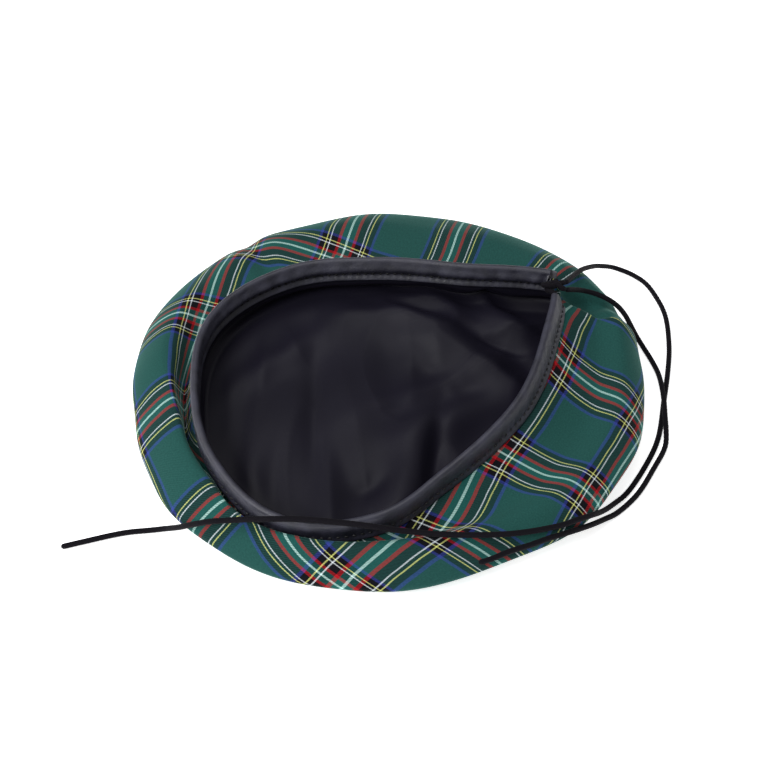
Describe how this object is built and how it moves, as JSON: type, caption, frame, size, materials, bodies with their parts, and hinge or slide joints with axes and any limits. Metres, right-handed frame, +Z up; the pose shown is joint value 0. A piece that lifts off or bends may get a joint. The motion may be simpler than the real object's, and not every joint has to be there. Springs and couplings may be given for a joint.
{
  "type": "tam o shanter",
  "caption": "Round flat tartan cap lying upside down on its crown, with a leather-bound head opening, a satin lining and a loose drawstring.",
  "frame": {"origin": "middle of the cap's outline, at the height of the flat crown that it lies on", "axes": "+Z up, out of the head opening; +Y away from the viewer; +X to the right, where the back notch is"},
  "size_m": [0.313, 0.2659, 0.0503],
  "materials": {
    "tartan_wool": "woven wool tartan, matt",
    "satin": "black satin with a soft sheen",
    "leather": "soft black leather, satin gloss",
    "cord": "black braided cord, matt"
  },
  "bodies": {
    "root": {"crown_panel": "tartan_wool", "underside_ring": "tartan_wool", "lining": "satin", "sweatband": "leather", "drawstring_hidden": "cord", "drawstring_knot": "cord", "drawstring_long": "cord", "drawstring_short": "cord"}
  },
  "joints": []
}
